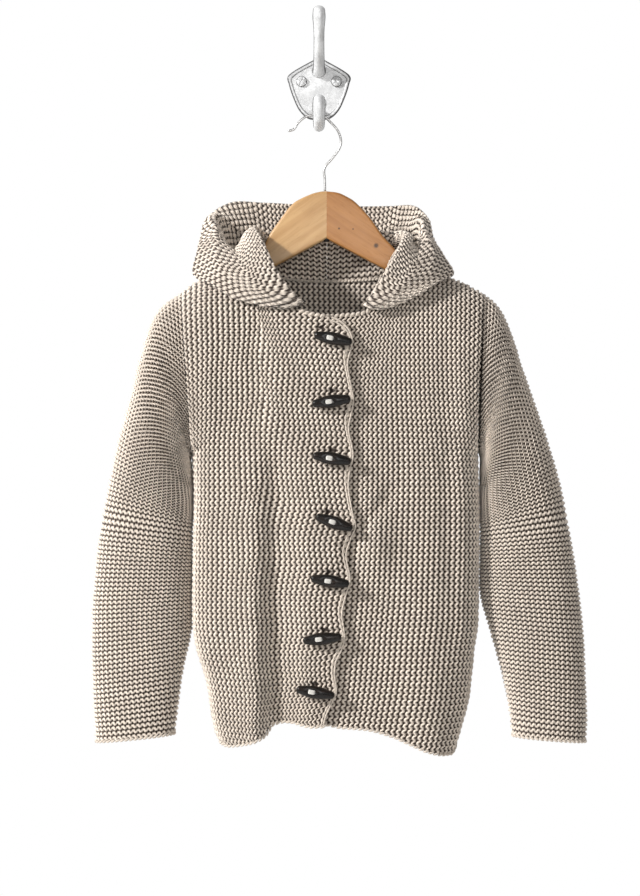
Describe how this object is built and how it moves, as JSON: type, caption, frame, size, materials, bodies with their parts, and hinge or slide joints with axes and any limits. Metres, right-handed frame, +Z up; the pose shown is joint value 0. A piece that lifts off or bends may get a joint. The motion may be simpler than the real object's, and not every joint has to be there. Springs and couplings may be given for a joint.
{
  "type": "hooded cardigan on a hanger and wall hook",
  "caption": "Child's garter-stitch cardigan with hood, long sleeves and a toggle front, on a wooden hanger held by a cast wall hook.",
  "frame": {"origin": "middle of the wall hook's flat back, which lies against the wall", "axes": "+X to the viewer's right, +Y into the wall, +Z up"},
  "size_m": [0.4971, 0.1267, 0.7508],
  "materials": {
    "knit": "matt, oatmeal cotton in garter stitch",
    "horn": "polished dark horn",
    "wood_light": "satin varnish, pale",
    "wood_dark": "satin varnish, warm",
    "wire": "bright wire",
    "hook_metal": "painted pale grey",
    "screw": "bright steel"
  },
  "bodies": {
    "root": {"back": "knit", "front_right_upper": "knit", "front_right_lower": "knit", "front_left": "knit", "sleeve_right_upper": "knit", "sleeve_right_lower": "knit", "sleeve_left_upper": "knit", "sleeve_left_lower": "knit", "hood_right": "knit", "hood_left": "knit", "toggle_1": "horn", "toggle_2": "horn", "toggle_3": "horn", "toggle_4": "horn", "toggle_5": "horn", "toggle_6": "horn", "toggle_7": "horn", "hanger_left": "wood_light", "hanger_right": "wood_dark", "hanger_wire": "wire", "wall_plate": "hook_metal", "lower_prong": "hook_metal", "upper_prong": "hook_metal", "screw_1": "screw", "screw_2": "screw", "screw_3": "screw"}
  },
  "joints": []
}
